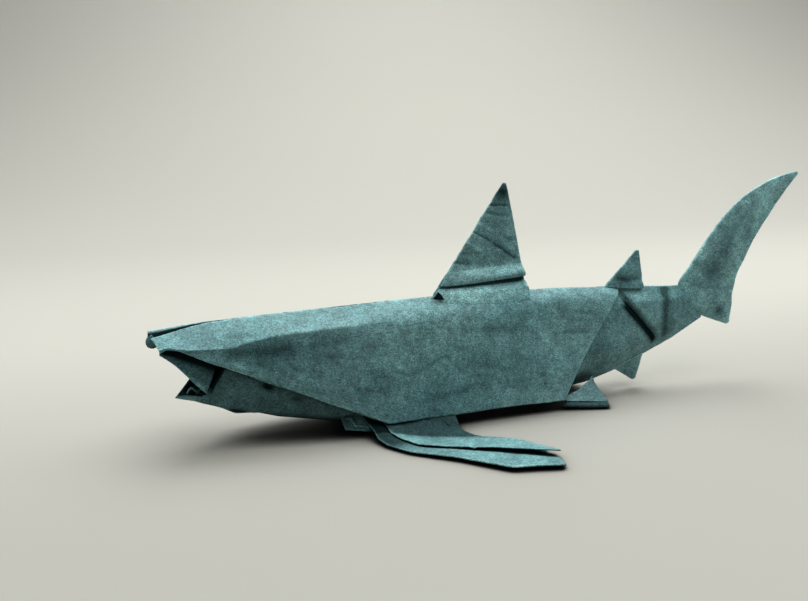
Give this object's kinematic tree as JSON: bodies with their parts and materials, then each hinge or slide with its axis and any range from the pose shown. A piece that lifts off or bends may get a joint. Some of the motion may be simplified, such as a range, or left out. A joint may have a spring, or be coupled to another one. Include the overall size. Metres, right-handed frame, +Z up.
{
  "type": "folded paper shark",
  "caption": "Shark folded from one square of plain teal paper, with open mouth, standing on its pectoral and pelvic fins.",
  "frame": {"origin": "on the floor, at mid length, in the plane of the fold line of the back", "axes": "+X towards the tail, +Y towards the shark's right side, +Z up; the picture shows the -Y side"},
  "size_m": [0.1479, 0.0656, 0.0488],
  "materials": {
    "paper": "matt, finely mottled fibre"
  },
  "bodies": {
    "root": {"folded_shark": "paper"}
  },
  "joints": []
}
